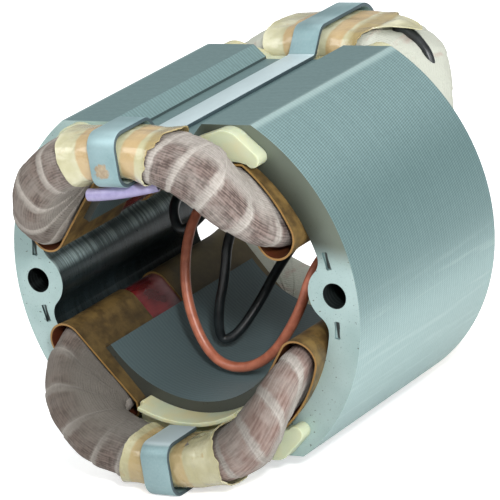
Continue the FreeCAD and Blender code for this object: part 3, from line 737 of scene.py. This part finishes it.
# painted highlight on the strip's flat runs in the grooves
in_groove = strip.steps(strip.absolute(pz), 38.6, 37.8) * strip.steps(strip.absolute(nz), 0.8, 0.95)
colour = strip.mix(in_groove * 0.75, colour, tone(214, 230, 234))
from_drop = strip.node("VectorMath", {0: strip.position(), 1: VARNISH_DROP}, output=1,
                       operation="DISTANCE")
crust = strip.speckle(0.8, detail=4.0)
varnish = strip.steps(from_drop + 2.2 * crust, 3.1, 2.5)
colour = strip.mix(varnish, colour, strip.mix(crust, tone(120, 100, 76), tone(190, 176, 150)))
strip.feed(
    # painted shade on the strip's side faces
    base_color=strip.mix(shaded_sides * 0.8, colour, tone(48, 60, 70)),
    roughness=0.4 + 0.2 * rolled,
    metallic=0.45 * (1 - varnish),
    normal=strip.bump(rolled * 0.1 + varnish * crust, 0.3, 0.6),
)
for place in ("top", "bottom"):
    node = place + "_strap"
    piece = rounded_copy(node, place + "_strip", 0.18, segments=2, edge_angle=50, shading_angle=30)
    dress(piece, strip)
    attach(piece, "root")
    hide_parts(node)


# ---------------------------------------------------------------- leads
# Stranded leads in silicone insulation come out of the wrapped end turn at the back and
# hang in loose loops through the bore.  All of them go back into the same coil.
def silicone(name, dark, light):
    """Smooth rubber insulation with a little dust on it."""
    finish = Finish(name, roughness=0.4, coat_weight=0.15, coat_roughness=0.3)
    dust = finish.speckle(2.0, detail=4.0)
    fine = finish.speckle(0.4, detail=2.0)
    finish.feed(base_color=finish.mix(finish.steps(dust, 0.3, 0.75), dark, light),
                normal=finish.bump(fine, 0.04, 0.4))
    return finish


LEAD_DIAMETER = 2.3
orange = silicone("orange_silicone", tone(160, 90, 66), tone(184, 110, 84))
black = silicone("black_silicone", tone(14, 18, 20), tone(34, 40, 42))
ORANGE_ROUTE = [
    (-6.0, 42.0, 33.5), (-6.5, 39.8, 25.6), (-9.4, 18.0, 18.0), (-12.2, -2.0, 9.5),
    (-13.5, -8.0, 0.9), (-12.4, -12.0, -10.5), (-7.5, -13.5, -21.9), (0.2, -14.0, -24.8),
    (10.0, -14.5, -21.2), (21.1, -17.0, -9.3), (26.8, -18.5, 1.0), (28.2, -10.0, 5.2),
    (28.2, 8.0, 5.6), (28.4, 27.0, 4.6), (29.3, 38.0, 5.6), (27.0, 40.0, 16.0),
]
LONG_BLACK_ROUTE = [
    (-2.0, 42.0, 33.5), (-2.5, 39.6, 26.0), (-3.8, 14.0, 12.6), (-5.3, -2.0, 3.4),
    (-6.4, -4.2, -6.5), (-9.2, -5.0, -14.2), (-10.4, -4.6, -21.8), (-7.0, -3.0, -21.2),
    (-3.2, 2.0, -15.4), (-0.3, 11.0, -6.6), (6.0, 26.0, 4.0), (13.0, 38.0, 14.0),
    (18.5, 44.0, 25.5),
]
SHORT_BLACK_ROUTE = [
    (-17.0, 42.5, 29.5), (-14.5, 39.8, 22.4), (-16.6, 27.0, 16.6), (-19.8, 12.0, 12.0),
    (-20.8, 0.0, 9.7), (-17.4, -4.2, 3.4), (-13.9, -1.0, 5.0), (-12.4, 12.0, 11.0),
    (-10.8, 29.0, 19.5), (-10.0, 40.0, 25.4), (-10.3, 43.0, 33.0),
]


def lead(name, node, route, finish):
    """A lead along its route, from the end turn and back into it."""
    curve = bpy.data.curves.new(name, "CURVE")
    curve.dimensions = "3D"
    curve.resolution_u = 10
    curve.bevel_depth = LEAD_DIAMETER / 2 * MM
    curve.bevel_resolution = 5
    curve.use_fill_caps = True
    spline = curve.splines.new("NURBS")
    spline.points.add(len(route) - 1)
    for point, place in zip(spline.points, route):
        point.co = (*(c * MM for c in place), 1.0)
    spline.order_u = 3
    spline.use_endpoint_u = True
    piece = bpy.data.objects.new(name, curve)
    bpy.context.scene.collection.objects.link(piece)
    dress(piece, finish)
    # the curve cuts the corners of its route
    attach(piece, "root")
    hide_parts(node)


lead("orange_wire", "orange_lead", ORANGE_ROUTE, orange)
lead("long_black_wire", "long_black_lead", LONG_BLACK_ROUTE, black)
lead("short_black_wire", "short_black_lead", SHORT_BLACK_ROUTE, black)
dress(nodes["back_black_lead"], black)


# ---------------------------------------------------------------- loose sleeving
# A short length of thin woven sleeving, open at both ends, is caught between the front
# end turn and the pole below it.
sleeving = Finish("lavender_sleeving", roughness=0.35, coat_weight=0.2)
ripple = sleeving.speckle(1.2, detail=3.0)
sleeving.feed(base_color=sleeving.mix(ripple, tone(124, 118, 158), tone(164, 158, 192)),
              normal=sleeving.bump(ripple, 0.1, 0.4))
SLEEVE_ROUTE = [(-8.0, -45.5, 26.6), (-3.4, -45.4, 26.7), (1.6, -44.6, 27.2), (8.0, -42.2, 28.2)]
SLEEVE_RADIUS = 1.4
SLEEVE_WALL = 0.3


def open_tube(name, route, radius, wall):
    """A bent tube with both ends open."""
    knots = open_spline(len(route), np.linspace(0, 1, 60)) @ np.array(route)
    along = np.gradient(knots, axis=0)
    along /= np.linalg.norm(along, axis=1)[:, None]
    side = np.cross(along, (0, 0, 1.0))
    side /= np.linalg.norm(side, axis=1)[:, None]
    above = np.cross(side, along)
    turn = np.linspace(0, 2 * math.pi, 32, endpoint=False)[None, :, None]
    spokes = np.cos(turn) * side[:, None] + np.sin(turn) * above[:, None]
    outer, inner = (knots[:, None] + r * spokes for r in (radius, radius - wall))
    piece = grid_piece(name, np.concatenate((outer, inner[::-1], outer[:1])))
    outward_faces(piece, merge=True)
    smooth(piece, 50.0)
    return piece


tube = open_tube("loose_sleeving", SLEEVE_ROUTE, SLEEVE_RADIUS, SLEEVE_WALL)
dress(tube, sleeving)
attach(tube, "root")
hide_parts("splice_sleeve")


# ---------------------------------------------------------------- floor and light
# The object stands on a plain pale floor in front of a white surround.  Three large soft
# lamps light it evenly and a small one gives the leads their shadows.
FLOOR_GLOW = 0.55
SKY_LIGHT = 0.34

low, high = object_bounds()
bpy.ops.mesh.primitive_plane_add(size=6.0, location=(0, 0, low[2]))
floor = bpy.context.object
floor.name = "floor"
pale = Finish("pale_floor", base_color=(0.9, 0.9, 0.9, 1), roughness=0.9)
seen = pale.node("LightPath", output="Is Camera Ray")
pale.feed(emission_color=pale.mix(seen, (0, 0, 0, 1), (1, 1, 1, 1)), emission_strength=FLOOR_GLOW)
dress(floor, pale)

world = bpy.data.worlds.new("surround")
bpy.context.scene.world = world
world.use_nodes = True
tree = world.node_tree
tree.nodes.clear()


def sky(brightness):
    """A plain white surround."""
    background = tree.nodes.new("ShaderNodeBackground")
    background.inputs["Color"].default_value = (1, 1, 1, 1)
    background.inputs["Strength"].default_value = brightness
    return background.outputs[0]


path = tree.nodes.new("ShaderNodeLightPath")
choice = tree.nodes.new("ShaderNodeMixShader")
out = tree.nodes.new("ShaderNodeOutputWorld")
parts = (path.outputs["Is Camera Ray"], sky(SKY_LIGHT), sky(1.0))
for socket, source in zip(choice.inputs, parts):
    tree.links.new(source, socket)
tree.links.new(choice.outputs[0], out.inputs[0])


def softbox(name, place, size, power):
    """A square lamp that looks at the object."""
    lamp = bpy.data.lights.new(name, "AREA")
    lamp.shape = "SQUARE"
    lamp.size = size
    lamp.energy = power
    holder = bpy.data.objects.new(name, lamp)
    bpy.context.scene.collection.objects.link(holder)
    holder.location = place
    holder.rotation_euler = (-Vector(place)).to_track_quat("-Z", "Y").to_euler()


for name, place, size, power in (
    ("left_softbox", (-0.7, -0.9, 0.9), 0.8, 7.0),
    ("right_softbox", (1.2, -0.3, 0.4), 0.9, 9.0),
    ("key", (0.60, -0.60, 0.46), 0.1, 6.0),
    ("top_softbox", (0.1, 0.3, 1.2), 0.9, 6.0),
):
    softbox(name, place, size, power)


# ---------------------------------------------------------------- camera
# A long lens looks into the front of the bore from the right and a little above, rolled
# by nine degrees.
AZIMUTH, ELEVATION, ROLL_ANGLE = (math.radians(a) for a in (35.688, 16.973, -9.177))
DISTANCE = 0.8852
FOCAL_LENGTH = 286.3
LENS_SHIFT = (-0.009, -0.0115)
back = Vector((math.sin(AZIMUTH) * math.cos(ELEVATION), -math.cos(AZIMUTH) * math.cos(ELEVATION),
               math.sin(ELEVATION)))
level = (-back).cross(Vector((0, 0, 1))).normalized()
upright = level.cross(-back)
right = level * math.cos(ROLL_ANGLE) + upright * math.sin(ROLL_ANGLE)
up = upright * math.cos(ROLL_ANGLE) - level * math.sin(ROLL_ANGLE)
lens = bpy.data.cameras.new("camera")
lens.sensor_width = 36.0
lens.lens = FOCAL_LENGTH
lens.shift_x, lens.shift_y = LENS_SHIFT
camera = bpy.data.objects.new("camera", lens)
bpy.context.scene.collection.objects.link(camera)
camera.matrix_world = Matrix((right, up, back)).transposed().to_4x4()
camera.location = back * DISTANCE
bpy.context.scene.camera = camera
bpy.context.scene.view_settings.view_transform = "Standard"
